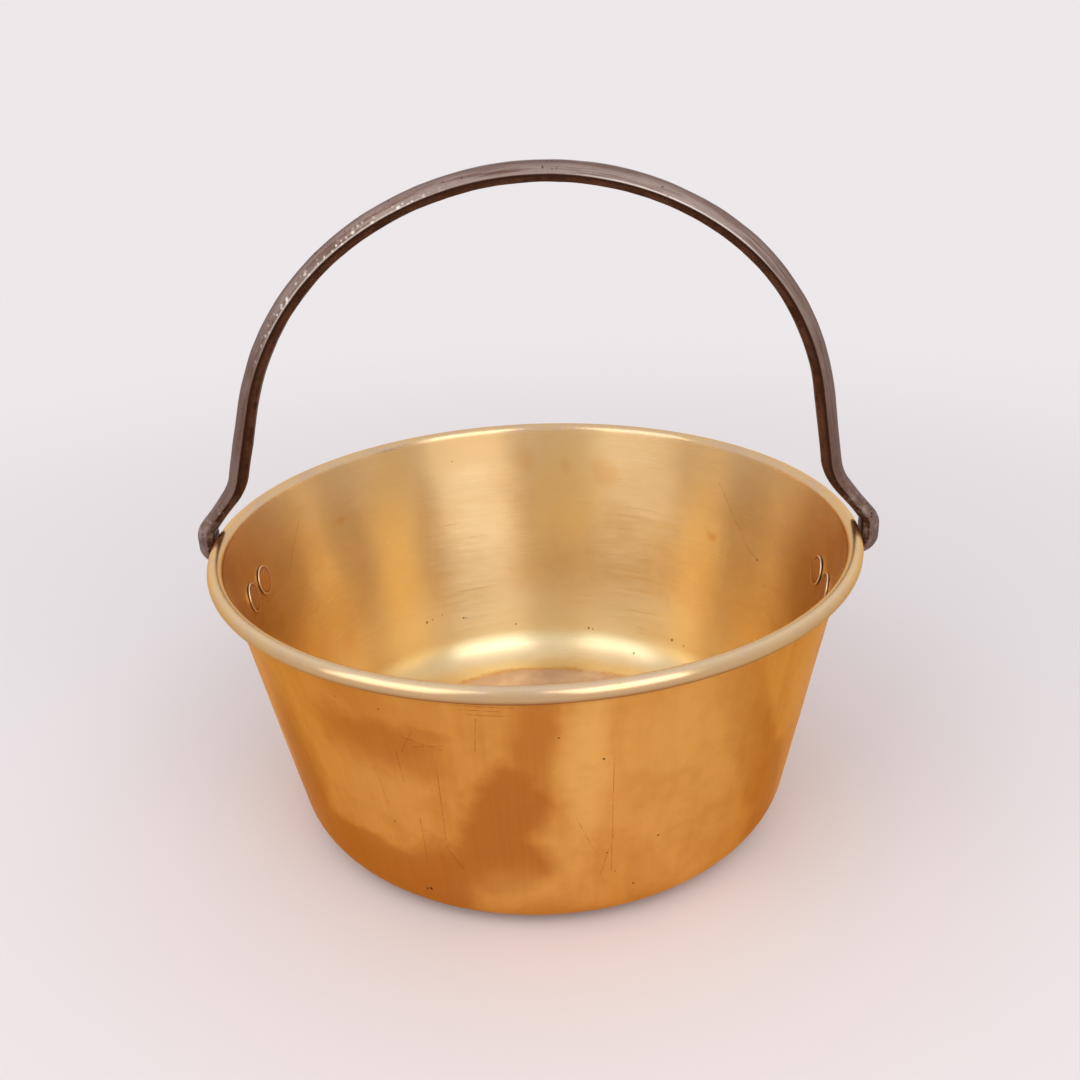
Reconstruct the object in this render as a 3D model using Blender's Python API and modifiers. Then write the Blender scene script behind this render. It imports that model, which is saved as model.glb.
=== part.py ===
# Brass preserving pan with a wired rim, two riveted iron ears and a forged swing bail.
# Metres, +Z up. The origin is the centre of the base on the table. X runs through both
# ear eyes, which is the axis that the bail swings about. -Y is the front.

import math

import bmesh
import bpy
from mathutils import Matrix, Vector

# Pan: one spun brass sheet with a flat base, a tapered wall that flares a little near
# the top, and a rolled rim
sheetThickness = 0.0013
panHeight = 0.1473
baseRadius = 0.12515
wallTaper = math.radians(10.37)
baseCornerRadius = 0.0230
flareBelowRim = 0.0300
flareTaper = math.radians(13.4)
wireRadius = 0.0022
wireClearance = 0.0003
curlEndGap = 0.0003
turnedSteps = 64
rollSteps = 14
cornerSteps = 7

# Ears: an iron plate bent to the wall with a standing eye that the bail hooks into
contactGap = 0.0003
earPlateThickness = 0.0026
eyeBelowRim = 0.0161
rivetsBelowEye = 0.0185
rivetSpacing = 0.0205
earRimAroundRivet = 0.0065
eyeThickness = 0.0040
eyeRim = 0.0030
eyeStandOff = 0.0041
eyeNeckTurn = math.radians(52)
footToHeadGap = 0.00045
footRise = 0.0045
plateTrim = 0.0020
cutterReach = 0.0100

# Rivets: copper, a broad flat head inside the pan and a domed head over the ear
shankRadius = 0.0030
rivetHoleClearance = 0.0003
innerHeadRadius = 0.0077
innerHeadThickness = 0.0009
innerHeadGap = 0.0006
outerHeadRadius = 0.0048
outerHeadHeight = 0.0027

# Bail: a forged bar whose ends turn out over the rim, go down and hook in under it
pinRadius = 0.0038
eyeClearance = 0.0004
pinEndGap = 0.0012
knuckleGap = 0.0014
barThickness = 0.0097
barWidth = 0.0130
barFlat = 0.0044
barEdgeDrop = 0.0008
knuckleWidth = 0.0136
knuckleFlat = 0.0104
crossingThickness = 0.0082
crossingFlat = 0.0053
hookRadius = 0.0064
bendBelowRim = 0.0026
overRimRadius = 0.0070
overRimLean = math.radians(40)
climbLength = 0.0200
kneeRadius = 0.0280
legLean = math.radians(12.3)
legLength = 0.0354
shoulderRadius = 0.1267
crownHalfTurn = math.radians(33.9)
crownSway = 0.0080
cornerWear = 0.0012

# Sizes that follow from the ones above
rollRadius = wireRadius + wireClearance + sheetThickness
rollCentreHeight = panHeight - rollRadius
flareStart = panHeight - flareBelowRim
eyeHeight = panHeight - eyeBelowRim
rivetHeight = eyeHeight - rivetsBelowEye
bendHeight = panHeight - bendBelowRim


def wallRadius(height):
    """Radius of the wall's outer face at a height."""
    straight = min(height, flareStart)
    flared = max(0.0, height - flareStart)
    return baseRadius + straight * math.tan(wallTaper) + flared * math.tan(flareTaper)


rollCentreRadius = wallRadius(rollCentreHeight) + (rollRadius - sheetThickness) / math.cos(flareTaper)
rimRadius = rollCentreRadius + rollRadius
eyeHoleRadius = pinRadius + eyeClearance
eyeInnerX = wallRadius(eyeHeight) + eyeStandOff
eyeOuterX = eyeInnerX + eyeThickness
pinTipX = wallRadius(eyeHeight + pinRadius) + pinEndGap
knuckleX = rimRadius + knuckleGap + barThickness / 2
footHalfWidth = rivetSpacing / 2 - outerHeadRadius - footToHeadGap
footTop = rivetHeight + shankRadius + rivetHoleClearance + footRise
footBottom = rivetHeight - footRise


def clearScene():
    for item in list(bpy.data.objects):
        bpy.data.objects.remove(item, do_unlink=True)
    for group in list(bpy.data.collections):
        bpy.data.collections.remove(group)


def makeCollection(name):
    group = bpy.data.collections.new(name)
    bpy.context.scene.collection.children.link(group)
    return group


def makeMaterial(name, colour, roughness, metallic):
    material = bpy.data.materials.new(name)
    material.use_nodes = True
    shader = material.node_tree.nodes["Principled BSDF"]
    shader.inputs["Base Color"].default_value = (*colour, 1.0)
    shader.inputs["Roughness"].default_value = roughness
    shader.inputs["Metallic"].default_value = metallic
    return material


def addObject(name, mesh, collection, material=None):
    item = bpy.data.objects.new(name, mesh)
    collection.objects.link(item)
    if material:
        mesh.materials.append(material)
    return item


def takePrimitive(name, collection):
    """The primitive that was just added, named and moved to its collection."""
    item = bpy.context.active_object
    item.name = name
    for group in item.users_collection:
        group.objects.unlink(item)
    collection.objects.link(item)
    return item


def shadeRound(mesh, angle=35):
    mesh.shade_smooth()
    mesh.set_sharp_from_angle(angle=math.radians(angle))


def evaluatedMesh(item):
    bpy.context.view_layer.update()
    graph = bpy.context.evaluated_depsgraph_get()
    return bpy.data.meshes.new_from_object(item.evaluated_get(graph))


def applyModifiers(item):
    mesh = evaluatedMesh(item)
    item.modifiers.clear()
    item.data = mesh


def boolean(item, other, operation):
    cut = item.modifiers.new(operation.title() + " " + other.name, "BOOLEAN")
    cut.operation = operation
    cut.object = other
    cut.solver = "EXACT"
    return cut


def makeCutter(item):
    item.hide_render = True
    item.display_type = "WIRE"
    return item


def arcPoints(centre, radius, start, end, steps):
    """Points on an arc from angle start to angle end, both included."""
    return [
        Vector((
            centre[0] + radius * math.cos(start + (end - start) * i / steps),
            centre[1] + radius * math.sin(start + (end - start) * i / steps),
        ))
        for i in range(steps + 1)
    ]


def turnProfile(name, points, steps, collection, material=None):
    """A solid turned about Z from a profile of (radius, height) points."""
    mesh = bpy.data.meshes.new(name)
    edges = [(i, i + 1) for i in range(len(points) - 1)]
    mesh.from_pydata([(p[0], 0.0, p[1]) for p in points], edges, [])
    item = addObject(name, mesh, collection)
    screw = item.modifiers.new("Turn", "SCREW")
    screw.axis = "Z"
    screw.steps = steps
    screw.render_steps = steps
    screw.use_merge_vertices = True
    screw.merge_threshold = 0.00001
    applyModifiers(item)
    if material:
        item.data.materials.append(material)
    return item


def wallFrame(offsetY, height):
    """Frame on the wall's outer face at +X, with its local Z along the face's normal."""
    radius = wallRadius(height)
    azimuth = math.asin(offsetY / radius)
    place = Matrix.Translation((radius * math.cos(azimuth), offsetY, height))
    return place @ Matrix.Rotation(azimuth, 4, "Z") @ Matrix.Rotation(math.pi / 2 + wallTaper, 4, "Y")


def halfTurn(side):
    """The left ear and its rivets are the right ones turned half a turn about Z."""
    return Matrix.Rotation(0.0 if side > 0 else math.pi, 4, "Z")


def panProfile():
    inward = math.pi - flareTaper
    cavityRadius = rollRadius - sheetThickness
    curlTurn = math.acos((cavityRadius - curlEndGap) / rollRadius)
    curlEnd = inward + curlTurn - 2 * math.pi
    rollCentre = (rollCentreRadius, rollCentreHeight)
    cornerCentre = (
        wallRadius(baseCornerRadius) - baseCornerRadius / math.cos(wallTaper),
        baseCornerRadius,
    )
    bend = (wallTaper + flareTaper) / 2
    bendReach = sheetThickness / math.cos((flareTaper - wallTaper) / 2)
    outerBend = Vector((wallRadius(flareStart), flareStart))
    innerBend = outerBend - Vector((math.cos(bend), -math.sin(bend))) * bendReach
    innerCorner = arcPoints(
        cornerCentre, baseCornerRadius - sheetThickness, -math.pi / 2, -wallTaper, cornerSteps
    )
    outerCorner = arcPoints(cornerCentre, baseCornerRadius, -wallTaper, -math.pi / 2, cornerSteps)
    rollOutside = arcPoints(rollCentre, rollRadius, inward, curlEnd, rollSteps)
    rollInside = arcPoints(rollCentre, cavityRadius, curlEnd, inward, rollSteps)
    return (
        [Vector((0.0, sheetThickness))]
        + innerCorner
        + [innerBend]
        + rollOutside
        + rollInside
        + [outerBend]
        + outerCorner
        + [Vector((0.0, 0.0))]
    )


def buildRivetHoles(collection):
    """Four pins through the wall and the ear plates, one for each rivet."""
    holes = []
    reach = 3 * (sheetThickness + earPlateThickness)
    for side in (1, -1):
        for row in (-1, 1):
            bpy.ops.mesh.primitive_cylinder_add(
                vertices=20, radius=shankRadius + rivetHoleClearance, depth=2 * reach
            )
            hole = takePrimitive(f"rivet_hole_{'right' if side > 0 else 'left'}_{row}", collection)
            hole.matrix_world = halfTurn(side) @ wallFrame(row * rivetSpacing / 2, rivetHeight)
            holes.append(makeCutter(hole))
    return holes


def buildPan(collection, holes, material):
    pan = turnProfile("pan_bowl", panProfile(), turnedSteps, collection, material)
    for hole in holes:
        boolean(pan, hole, "DIFFERENCE")
    shadeRound(pan.data)
    return pan


def buildRimWire(collection, material):
    bpy.ops.mesh.primitive_torus_add(
        major_radius=rollCentreRadius,
        minor_radius=wireRadius,
        major_segments=turnedSteps,
        minor_segments=8,
        location=(0, 0, rollCentreHeight),
    )
    wire = takePrimitive("rim_wire", collection)
    wire.data.materials.append(material)
    shadeRound(wire.data)
    return wire


def slabAcrossX(name, outline, nearX, farX, collection):
    """A flat outline of (y, z) points, extruded from nearX to farX."""
    curve = bpy.data.curves.new(name, "CURVE")
    curve.dimensions = "2D"
    curve.fill_mode = "BOTH"
    curve.extrude = (farX - nearX) / 2
    spline = curve.splines.new("POLY")
    spline.points.add(len(outline) - 1)
    for point, place in zip(spline.points, outline):
        point.co = (place[0], place[1], 0.0, 1.0)
    spline.use_cyclic_u = True
    flat = addObject(name + "_outline", curve, collection)
    mesh = evaluatedMesh(flat)
    shape = bmesh.new()
    shape.from_mesh(mesh)
    bmesh.ops.remove_doubles(shape, verts=shape.verts, dist=0.00001)
    toYZ = Matrix(((0, 0, 1, (nearX + farX) / 2), (1, 0, 0, 0), (0, 1, 0, 0), (0, 0, 0, 1)))
    bmesh.ops.transform(shape, matrix=toYZ, verts=shape.verts)
    bmesh.ops.recalc_face_normals(shape, faces=shape.faces)
    shape.to_mesh(mesh)
    shape.free()
    bpy.data.objects.remove(flat, do_unlink=True)
    return addObject(name, mesh, collection)


def earPlateOutline():
    """Two rounds about the rivets, joined straight across."""
    radius = shankRadius + rivetHoleClearance + earRimAroundRivet
    half = rivetSpacing / 2
    right = arcPoints((half, rivetHeight), radius, -math.pi / 2, math.pi / 2, 8)
    left = arcPoints((-half, rivetHeight), radius, math.pi / 2, math.pi * 3 / 2, 8)
    return right + left


def eyeOutline():
    """A round about the eye hole on a narrower neck that runs down over the plate."""
    radius = eyeHoleRadius + eyeRim
    top = arcPoints((0.0, eyeHeight), radius, -eyeNeckTurn, math.pi + eyeNeckTurn, 18)
    foot = [
        Vector((-footHalfWidth, footTop)),
        Vector((-footHalfWidth, footBottom)),
        Vector((footHalfWidth, footBottom)),
        Vector((footHalfWidth, footTop)),
    ]
    return top + foot


def buildEar(side, holes, collection, cutters, material):
    name = "ear_right" if side > 0 else "ear_left"
    shape = bmesh.new()
    half = rivetSpacing / 2 + shankRadius + earRimAroundRivet + plateTrim
    low = rivetHeight - half / 2
    high = rivetHeight + half / 2
    bmesh.ops.create_grid(shape, x_segments=14, y_segments=2, size=1.0)
    for vert in shape.verts:
        y = vert.co.x * half
        z = low + (vert.co.y + 1) / 2 * (high - low)
        radius = wallRadius(z) + contactGap / math.cos(wallTaper)
        vert.co = (math.sqrt(radius * radius - y * y), y, z)
    bmesh.ops.recalc_face_normals(shape, faces=shape.faces)
    if sum((face.normal.x for face in shape.faces), 0.0) < 0:
        bmesh.ops.reverse_faces(shape, faces=shape.faces)
    mesh = bpy.data.meshes.new(name)
    shape.to_mesh(mesh)
    shape.free()
    ear = addObject(name, mesh, collection)
    thick = ear.modifiers.new("Plate", "SOLIDIFY")
    thick.thickness = earPlateThickness
    thick.offset = 1.0
    applyModifiers(ear)

    nearX = wallRadius(low) - cutterReach
    outline = slabAcrossX(name + "_plate_outline", earPlateOutline(), nearX, rimRadius, cutters)
    boolean(ear, makeCutter(outline), "INTERSECT")
    applyModifiers(ear)

    eye = slabAcrossX(name + "_eye", eyeOutline(), eyeInnerX, eyeOuterX, cutters)
    boolean(ear, makeCutter(eye), "UNION")
    footInnerX = wallRadius(footTop) + contactGap + earPlateThickness / 2
    bpy.ops.mesh.primitive_cube_add(size=1.0)
    foot = takePrimitive(name + "_foot", cutters)
    foot.scale = (eyeOuterX - footInnerX, 2 * footHalfWidth, footTop - footBottom)
    foot.location = ((eyeOuterX + footInnerX) / 2, 0.0, (footTop + footBottom) / 2)
    boolean(ear, makeCutter(foot), "UNION")

    holeDepth = eyeThickness + 2 * (eyeInnerX - footInnerX)
    bpy.ops.mesh.primitive_cylinder_add(vertices=24, radius=eyeHoleRadius, depth=holeDepth)
    eyeHole = takePrimitive(name + "_eye_hole", cutters)
    eyeHole.rotation_euler = (0, math.pi / 2, 0)
    eyeHole.location = ((eyeInnerX + eyeOuterX) / 2, 0.0, eyeHeight)
    boolean(ear, makeCutter(eyeHole), "DIFFERENCE")
    applyModifiers(ear)

    ear.matrix_world = halfTurn(side)
    for hole in holes:
        boolean(ear, hole, "DIFFERENCE")
    ear.data.materials.clear()
    ear.data.materials.append(material)
    shadeRound(ear.data)
    return ear


def rivetProfile():
    """Domed outer head, shank through ear and wall, flat inner head; z = 0 is the wall's face."""
    seat = contactGap + earPlateThickness + contactGap
    domeRise = outerHeadHeight
    domeRadius = (outerHeadRadius ** 2 + domeRise ** 2) / (2 * domeRise)
    spread = math.asin(outerHeadRadius / domeRadius)
    dome = arcPoints(
        (0.0, seat + domeRise - domeRadius), domeRadius, math.pi / 2, math.pi / 2 - spread, 5
    )
    innerTop = -sheetThickness - innerHeadGap
    innerFace = innerTop - innerHeadThickness
    bevel = innerHeadThickness / 2
    return dome + [
        Vector((shankRadius, seat)),
        Vector((shankRadius, innerTop)),
        Vector((innerHeadRadius, innerTop)),
        Vector((innerHeadRadius, innerTop - bevel)),
        Vector((innerHeadRadius - bevel, innerFace)),
        Vector((0.0, innerFace)),
    ]


def buildRivets(collection, material):
    for side, sideName in ((1, "right"), (-1, "left")):
        for row in (-1, 1):
            place = "front" if row * side < 0 else "rear"
            rivet = turnProfile(f"rivet_{sideName}_{place}", rivetProfile(), 20, collection, material)
            shadeRound(rivet.data)
            rivet.matrix_world = halfTurn(side) @ wallFrame(row * rivetSpacing / 2, rivetHeight)


def bailHalfPath():
    """Centre line of the right half as (x, z), from the pin's tip up to the crown.

    Each entry also holds its section: 0 pin, 1 knuckle, 2 crossing over the rim, 3 bar.
    """
    hookCentre = (knuckleX - hookRadius, eyeHeight + hookRadius)
    hook = arcPoints(hookCentre, hookRadius, -math.pi / 2, 0.0, 6)
    over = arcPoints((knuckleX - overRimRadius, bendHeight), overRimRadius, 0.0, overRimLean, 3)

    climb = Vector((-math.sin(overRimLean), math.cos(overRimLean)))
    kneeStart = over[-1] + climb * climbLength
    kneeCentre = kneeStart + Vector((math.cos(overRimLean), math.sin(overRimLean))) * kneeRadius
    knee = arcPoints(kneeCentre, kneeRadius, math.pi + overRimLean, math.pi + legLean, 5)

    shoulderStart = knee[-1] + Vector((-math.sin(legLean), math.cos(legLean))) * legLength
    shoulderCentre = shoulderStart - Vector((math.cos(legLean), math.sin(legLean))) * shoulderRadius
    crownStart = math.pi / 2 - crownHalfTurn
    shoulder = arcPoints(shoulderCentre, shoulderRadius, legLean, crownStart, 12)
    crownRadius = shoulder[-1].x / math.sin(crownHalfTurn)
    crownCentre = Vector((0.0, shoulder[-1].y - crownRadius * math.cos(crownHalfTurn)))
    crown = arcPoints(crownCentre, crownRadius, crownStart, math.pi / 2, 9)

    path = [(Vector((pinTipX, eyeHeight)), 0.0)]
    path += [(p, i / 6) for i, p in enumerate(hook)]
    path += [(over[0], 1.0)]
    path += [(p, 1.0 + 0.6 * (i + 1) / 3) for i, p in enumerate(over[1:])]
    path += [(over[-1].lerp(knee[0], 0.35), 2.0), (over[-1].lerp(knee[0], 0.7), 2.3)]
    path += [(p, 2.5 + 0.5 * i / 5) for i, p in enumerate(knee)]
    path += [(knee[-1].lerp(shoulder[0], 0.5), 3.0)]
    path += [(p, 3.0) for p in shoulder]
    path += [(p, 3.0) for p in crown[1:]]
    return path


def sectionPoints(thickness, width, flat, drop, roundness):
    """Twelve (across, outward) points: a six-sided bar with worn corners, or an ellipse."""
    corners = [
        Vector((flat / 2, thickness / 2)),
        Vector((width / 2, -drop)),
        Vector((flat / 2, -thickness / 2)),
        Vector((-flat / 2, -thickness / 2)),
        Vector((-width / 2, -drop)),
        Vector((-flat / 2, thickness / 2)),
    ]
    points = []
    for i, corner in enumerate(corners):
        before = corners[i - 1]
        after = corners[(i + 1) % 6]
        for end in (before, after):
            worn = corner.lerp(end, min(0.45, cornerWear / (end - corner).length))
            angle = math.atan2(worn.y / thickness, worn.x / width)
            oval = Vector((width / 2 * math.cos(angle), thickness / 2 * math.sin(angle)))
            points.append(worn.lerp(oval, roundness))
    return points


def bailSection(stage):
    """Section between the four named ones: (thickness, width, flat, edge drop, roundness)."""
    named = [
        (2 * pinRadius, 2 * pinRadius, pinRadius, 0.0, 1.0),
        (barThickness, knuckleWidth, knuckleFlat, 0.0, 0.35),
        (crossingThickness, knuckleWidth, crossingFlat, barEdgeDrop, 0.45),
        (barThickness, barWidth, barFlat, barEdgeDrop, 0.15),
    ]
    low = min(int(stage), 2)
    share = stage - low
    return sectionPoints(*[a + (b - a) * share for a, b in zip(named[low], named[low + 1])])


def buildBail(collection, material):
    half = bailHalfPath()
    path = [(p.copy(), stage) for p, stage in half]
    path += [(Vector((-p.x, p.y)), stage) for p, stage in reversed(half[:-1])]
    crownHeight = half[-1][0].y
    kneeHeight = next(p.y for p, stage in half if stage == 3.0)
    for point, stage in path:
        rise = max(0.0, (point.y - kneeHeight) / (crownHeight - kneeHeight))
        point.x += crownSway * rise

    shape = bmesh.new()
    rings = []
    for i, (point, stage) in enumerate(path):
        before = path[max(i - 1, 0)][0]
        after = path[min(i + 1, len(path) - 1)][0]
        along = (after - before).normalized()
        outward = Vector((along.y, -along.x))
        ring = []
        for across, rise in bailSection(stage):
            place = point + outward * rise
            ring.append(shape.verts.new((place.x, across, place.y - eyeHeight)))
        rings.append(ring)
    for near, far in zip(rings, rings[1:]):
        for i in range(len(near)):
            j = (i + 1) % len(near)
            shape.faces.new((near[i], near[j], far[j], far[i]))
    shape.faces.new(list(reversed(rings[0])))
    shape.faces.new(rings[-1])
    bmesh.ops.recalc_face_normals(shape, faces=shape.faces)
    mesh = bpy.data.meshes.new("bail_handle")
    shape.to_mesh(mesh)
    shape.free()
    shadeRound(mesh, 40)
    bail = addObject("bail_handle", mesh, collection, material)
    bail.location = (0.0, 0.0, eyeHeight)
    return bail


clearScene()
panCollection = makeCollection("preserving_pan")
cutterCollection = makeCollection("cutters")
brass = makeMaterial("brass", (0.80, 0.50, 0.20), 0.28, 1.0)
iron = makeMaterial("forged_iron", (0.11, 0.085, 0.075), 0.55, 0.8)
wireIron = makeMaterial("wire_iron", (0.20, 0.18, 0.17), 0.5, 0.9)
copper = makeMaterial("copper", (0.62, 0.30, 0.17), 0.35, 1.0)

rivetHoles = buildRivetHoles(cutterCollection)
buildPan(panCollection, rivetHoles, brass)
buildRimWire(panCollection, wireIron)
buildEar(1, rivetHoles, panCollection, cutterCollection, iron)
buildEar(-1, rivetHoles, panCollection, cutterCollection, iron)
buildRivets(panCollection, copper)
buildBail(panCollection, iron)
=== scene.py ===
import math

import bmesh
import bpy
from mathutils import Matrix, Vector, noise


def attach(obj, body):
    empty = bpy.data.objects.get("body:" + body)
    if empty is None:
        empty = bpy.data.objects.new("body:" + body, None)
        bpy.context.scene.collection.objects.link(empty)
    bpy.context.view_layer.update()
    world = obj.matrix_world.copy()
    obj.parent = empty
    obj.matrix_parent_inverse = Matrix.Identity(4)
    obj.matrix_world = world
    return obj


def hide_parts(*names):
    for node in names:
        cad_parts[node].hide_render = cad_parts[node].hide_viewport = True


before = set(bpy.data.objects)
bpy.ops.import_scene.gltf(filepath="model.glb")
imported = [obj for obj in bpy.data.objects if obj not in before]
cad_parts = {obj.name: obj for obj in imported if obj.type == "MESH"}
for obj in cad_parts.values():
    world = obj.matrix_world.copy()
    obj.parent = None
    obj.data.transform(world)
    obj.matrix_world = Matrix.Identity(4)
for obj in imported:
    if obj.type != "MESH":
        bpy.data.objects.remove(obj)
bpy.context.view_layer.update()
scene = bpy.context.scene
print("frame loaded:", ", ".join(sorted(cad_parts)))

# Camera

camera = {
    "place": (0.0298, -0.5177, 0.3700),
    "aim": (0.0026, 0.0026, 0.1363),
    "roll": math.radians(-2.32),
    "lens": 37.65,
}


def addCamera():
    item = bpy.data.objects.new("camera", bpy.data.cameras.new("camera"))
    scene.collection.objects.link(item)
    place = Vector(camera["place"])
    back = (place - Vector(camera["aim"])).normalized()
    right = Vector((0, 0, 1)).cross(back).normalized()
    turned = Matrix((right, back.cross(right), back)).transposed().to_4x4()
    item.matrix_world = Matrix.Translation(place) @ turned @ Matrix.Rotation(camera["roll"], 4, "Z")
    item.data.lens = camera["lens"]
    item.data.clip_start = 0.01
    item.data.clip_end = 200
    scene.camera = item


addCamera()
print("camera placed")

# Small helpers for node trees


def addNode(tree, kind, inputs=None, **settings):
    item = tree.nodes.new(kind)
    for name, value in settings.items():
        setattr(item, name, value)
    for name, value in (inputs or {}).items():
        if isinstance(value, bpy.types.NodeSocket):
            tree.links.new(value, item.inputs[name])
        else:
            item.inputs[name].default_value = value
    return item


def calc(tree, operation, first, second=0.0, clamp=False):
    item = addNode(tree, "ShaderNodeMath", {0: first, 1: second}, operation=operation)
    item.use_clamp = clamp
    return item.outputs[0]


def vectorCalc(tree, operation, first, second=(0.0, 0.0, 0.0), output=0):
    item = addNode(tree, "ShaderNodeVectorMath", {0: first, 1: second}, operation=operation)
    return item.outputs[output]


def remap(tree, value, low, high, toLow=0.0, toHigh=1.0):
    item = addNode(
        tree,
        "ShaderNodeMapRange",
        {"Value": value, "From Min": low, "From Max": high, "To Min": toLow, "To Max": toHigh},
        interpolation_type="SMOOTHSTEP",
    )
    return item.outputs["Result"]


def times(tree, first, *others):
    for other in others:
        first = calc(tree, "MULTIPLY", first, other)
    return first


# One where a value lies from the second number to the third, fading out at the first and fourth
def band(tree, value, low, lowFull, highFull, high):
    return times(tree, remap(tree, value, low, lowFull), remap(tree, value, high, highFull))


def mixColour(tree, share, first, second):
    item = addNode(tree, "ShaderNodeMix", data_type="RGBA", clamp_factor=True)
    for index, value in ((0, share), (6, first), (7, second)):
        if isinstance(value, bpy.types.NodeSocket):
            tree.links.new(value, item.inputs[index])
        else:
            item.inputs[index].default_value = value if index == 0 else (*value, 1.0)
    return item.outputs[2]


def mixValue(tree, share, first, second):
    return addNode(tree, "ShaderNodeMix", {0: share, 2: first, 3: second}).outputs[0]


def noiseValue(tree, vector, scale, detail=3.0, roughness=0.5, distortion=0.0):
    item = addNode(
        tree,
        "ShaderNodeTexNoise",
        {
            "Vector": vector,
            "Scale": scale,
            "Detail": detail,
            "Roughness": roughness,
            "Distortion": distortion,
        },
    )
    return item.outputs["Fac"]


def joinAxes(tree, **axes):
    return addNode(tree, "ShaderNodeCombineXYZ", axes).outputs[0]


def attribute(tree, name):
    return addNode(tree, "ShaderNodeAttribute", attribute_name=name).outputs["Fac"]


def newMaterial(name, metallic, roughness, **sockets):
    material = bpy.data.materials.new(name)
    material.use_nodes = True
    tree = material.node_tree
    shader = tree.nodes["Principled BSDF"]
    shader.inputs["Metallic"].default_value = metallic
    shader.inputs["Roughness"].default_value = roughness
    for socket, value in sockets.items():
        shader.inputs[socket.replace("_", " ")].default_value = value
    return material, tree, shader


def addBump(tree, shader, height, strength, distance):
    sockets = {"Strength": strength, "Distance": distance, "Height": height}
    bump = addNode(tree, "ShaderNodeBump", sockets)
    tree.links.new(bump.outputs[0], shader.inputs["Normal"])


def newGroup(name, inputs, output):
    group = bpy.data.node_groups.new(name, "ShaderNodeTree")
    for label, value in inputs.items():
        kind = "NodeSocketVector" if value is None else "NodeSocketFloat"
        socket = group.interface.new_socket(name=label, in_out="INPUT", socket_type=kind)
        if value is not None:
            socket.default_value = value
    group.interface.new_socket(name=output, in_out="OUTPUT", socket_type="NodeSocketFloat")
    start = group.nodes.new("NodeGroupInput")
    end = group.nodes.new("NodeGroupOutput")
    return group, start.outputs, end.inputs[0]


def useGroup(tree, group, **inputs):
    item = tree.nodes.new("ShaderNodeGroup")
    item.node_tree = group
    for name, value in inputs.items():
        socket = item.inputs[name.replace("_", " ")]
        if isinstance(value, bpy.types.NodeSocket):
            tree.links.new(value, socket)
        else:
            socket.default_value = value
    return item.outputs[0]


# Surface effects that several finishes share


def makeMottleGroup():
    inputs = {"Place": None, "Scale": 20.0, "Low": 0.4, "High": 0.6}
    group, given, result = newGroup("cloudy mottle", inputs, "Mask")
    broad = noiseValue(group, given["Place"], given["Scale"], 3.0, 0.5, 0.3)
    fineScale = calc(group, "MULTIPLY", given["Scale"], 4.3)
    fine = noiseValue(group, given["Place"], fineScale, 4.0, 0.6)
    both = mixValue(group, 0.35, broad, fine)
    group.links.new(remap(group, both, given["Low"], given["High"]), result)
    return group


def makePitGroup():
    inputs = {"Place": None, "Scale": 300.0, "Cover": 0.3, "Size": 0.4}
    group, given, result = newGroup("fine pits", inputs, "Pits")
    sockets = {"Vector": given["Place"], "Scale": given["Scale"]}
    cells = addNode(group, "ShaderNodeTexVoronoi", sockets)
    pick = addNode(group, "ShaderNodeSeparateColor", {"Color": cells.outputs["Color"]}).outputs[0]
    kept = calc(group, "LESS_THAN", pick, given["Cover"])
    size = calc(group, "MULTIPLY", given["Size"], calc(group, "ADD", pick, 0.5))
    core = calc(group, "MULTIPLY", size, 0.3)
    hollow = remap(group, cells.outputs["Distance"], size, core)
    group.links.new(calc(group, "MULTIPLY", hollow, kept), result)
    return group


def makePatchGroup():
    inputs = {
        "Place": None,
        "Centre": None,
        "Half": None,
        "Lean": 0.0,
        "Softness": 0.3,
        "Warp": 0.0,
    }
    group, given, result = newGroup("soft patch", inputs, "Mask")
    away = vectorCalc(group, "SUBTRACT", given["Place"], given["Centre"])
    up = addNode(group, "ShaderNodeSeparateXYZ", {0: away}).outputs["Y"]
    slide = joinAxes(group, X=times(group, up, given["Lean"]))
    away = vectorCalc(group, "SUBTRACT", away, slide)
    scaled = vectorCalc(group, "DIVIDE", away, given["Half"])
    reach = vectorCalc(group, "LENGTH", scaled, output="Value")
    reach = calc(group, "ADD", reach, given["Warp"])
    far = calc(group, "ADD", 1.0, given["Softness"])
    near = calc(group, "SUBTRACT", 1.0, given["Softness"])
    group.links.new(remap(group, reach, far, near), result)
    return group


def makeScratchGroup():
    inputs = {"Place": None, "Start": None, "Reach": None, "Width": 0.3}
    group, given, result = newGroup("scratch", inputs, "Mask")
    away = vectorCalc(group, "SUBTRACT", given["Place"], given["Start"])
    along = vectorCalc(group, "DOT_PRODUCT", away, given["Reach"], output="Value")
    whole = vectorCalc(group, "DOT_PRODUCT", given["Reach"], given["Reach"], output="Value")
    share = calc(group, "DIVIDE", along, whole, clamp=True)
    sockets = {0: given["Reach"], "Scale": share}
    nearest = addNode(group, "ShaderNodeVectorMath", sockets, operation="SCALE").outputs[0]
    off = vectorCalc(group, "DISTANCE", away, nearest, output="Value")
    core = calc(group, "MULTIPLY", given["Width"], 0.3)
    group.links.new(remap(group, off, given["Width"], core), result)
    return group


mottleGroup = makeMottleGroup()
pitGroup = makePitGroup()
patchGroup = makePatchGroup()
scratchGroup = makeScratchGroup()
print("shared surface effects made")

# Small helpers for pieces


def finishPiece(name, shape, material, body, replaced, angle=40):
    mesh = bpy.data.meshes.new(name)
    shape.to_mesh(mesh)
    shape.free()
    mesh.shade_smooth()
    mesh.set_sharp_from_angle(angle=math.radians(angle))
    mesh.materials.append(material)
    piece = bpy.data.objects.new(name, mesh)
    scene.collection.objects.link(piece)
    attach(piece, body)
    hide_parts(replaced)
    return piece


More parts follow.
